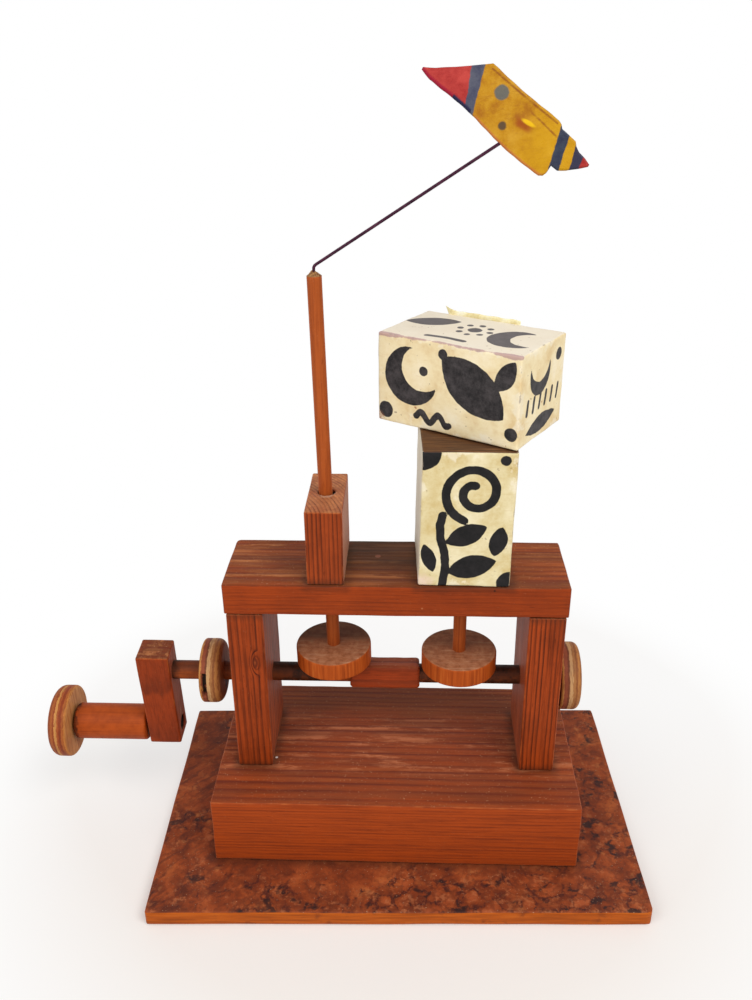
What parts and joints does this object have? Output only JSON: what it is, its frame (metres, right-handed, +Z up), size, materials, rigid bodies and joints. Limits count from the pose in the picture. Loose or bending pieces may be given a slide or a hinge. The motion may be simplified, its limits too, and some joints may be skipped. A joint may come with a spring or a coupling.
{
  "type": "wooden crank automaton",
  "caption": "Hand-cranked wooden automaton: a crankshaft in a small frame turns and lifts discs on rods that carry a painted bird on a wire and the swivelling head of a block dog.",
  "frame": {"origin": "middle of the plinth in plan, on the underside of the base plate", "axes": "+X right along the crankshaft, away from the crank; +Y away from the front; +Z up"},
  "size_m": [0.303, 0.1566, 0.3685],
  "materials": {
    "base_veneer": "stained reddish brown, dark mottled figure, semi-matt varnish",
    "plinth_wood": "stained red-brown softwood, semi-matt varnish",
    "frame_wood": "stained red-orange softwood, semi-matt varnish",
    "dowel_wood": "stained orange-brown dowel, semi-matt",
    "ply_edge": "plywood with bare layered edge, worn smooth",
    "follower_wood": "stained disc, orange rim and brown end grain",
    "cream_paint": "aged cream paint with black shapes, bare wood inside",
    "bird_paint": "yellow, red and blue-grey paint on thin wood",
    "wire_steel": "dark drawn wire",
    "tape": "yellowed paper tape"
  },
  "bodies": {
    "stand": {"base_plate": "base_veneer", "plinth_block": "plinth_wood", "left_upright": "frame_wood", "right_upright": "frame_wood", "top_beam": "frame_wood", "guide_post": "frame_wood", "body_block": "cream_paint"},
    "crankshaft": {"crank_shaft": "dowel_wood", "drive_block": "frame_wood", "left_collar": "ply_edge", "right_collar": "ply_edge", "crank_arm": "frame_wood", "handle_pin": "dowel_wood", "handle_end_disc": "ply_edge"},
    "handle": {"handle_grip": "dowel_wood"},
    "bird_lifter": {"bird_rod": "dowel_wood"},
    "bird": {"bird_follower_disc": "follower_wood", "bird_wire": "wire_steel", "painted_bird": "bird_paint"},
    "head_lifter": {"head_rod": "dowel_wood"},
    "head": {"head_follower_disc": "follower_wood", "head_block": "cream_paint", "tape_strip": "tape"}
  },
  "joints": [
    {"name": "crank_turn", "type": "hinge", "parent": "stand", "child": "crankshaft", "pos_m": [0, 0.0021, 0.0884], "axis": [1, 0, 0], "continuous": true},
    {"name": "grip_spin", "type": "hinge", "parent": "crankshaft", "child": "handle", "pos_m": [-0.15, 0.00584, 0.05159], "axis": [1, 0, 0], "continuous": true},
    {"name": "bird_lift", "type": "slide", "parent": "stand", "child": "bird_lifter", "axis": [-0.0175, 0, 0.9998], "range_m": [0, 0.029]},
    {"name": "bird_turn", "type": "hinge", "parent": "bird_lifter", "child": "bird", "pos_m": [-0.03134, 0.0021, 0.0963], "axis": [-0.0175, 0, 0.9998], "continuous": true},
    {"name": "head_lift", "type": "slide", "parent": "stand", "child": "head_lifter", "axis": [0, 0, 1], "range_m": [0, 0.0325]},
    {"name": "head_turn", "type": "hinge", "parent": "head_lifter", "child": "head", "pos_m": [0.031, 0.0021, 0.09345], "axis": [0, 0, 1], "continuous": true}
  ],
  "couplings": [
    {"joint": "bird_turn", "follows": "crank_turn", "ratio": -0.5}
  ]
}
